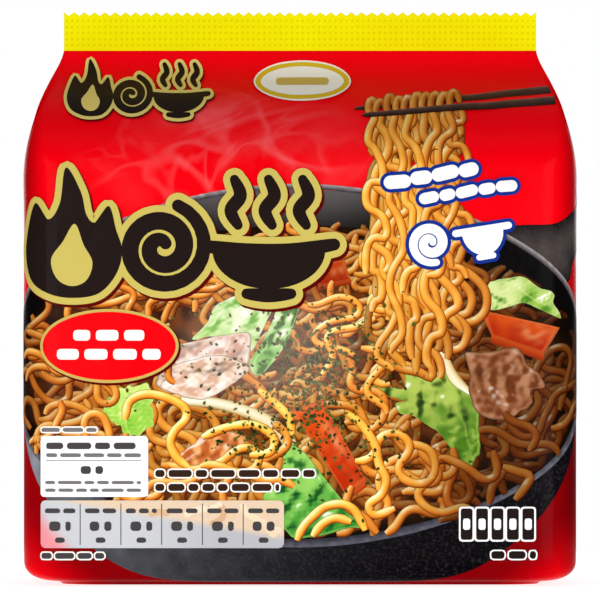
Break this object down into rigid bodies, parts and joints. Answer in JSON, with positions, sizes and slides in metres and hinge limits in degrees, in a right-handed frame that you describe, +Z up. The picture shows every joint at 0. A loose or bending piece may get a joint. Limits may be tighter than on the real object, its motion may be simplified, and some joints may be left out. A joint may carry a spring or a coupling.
{
  "type": "instant noodle multipack",
  "caption": "Shut film multipack of instant fried noodles: gabled pillow bag with a flat crimped top seal, standing on its folded bottom seal.",
  "frame": {"origin": "on the floor, under the middle of the pack", "axes": "+Z up through the top seal, -Y out of the printed front, +X to the right of someone who faces the front"},
  "size_m": [0.19, 0.12, 0.195],
  "materials": {
    "printed_film": "gloss printed film, red with a yellow seal band"
  },
  "bodies": {
    "root": {"film_pack": "printed_film"}
  },
  "joints": []
}
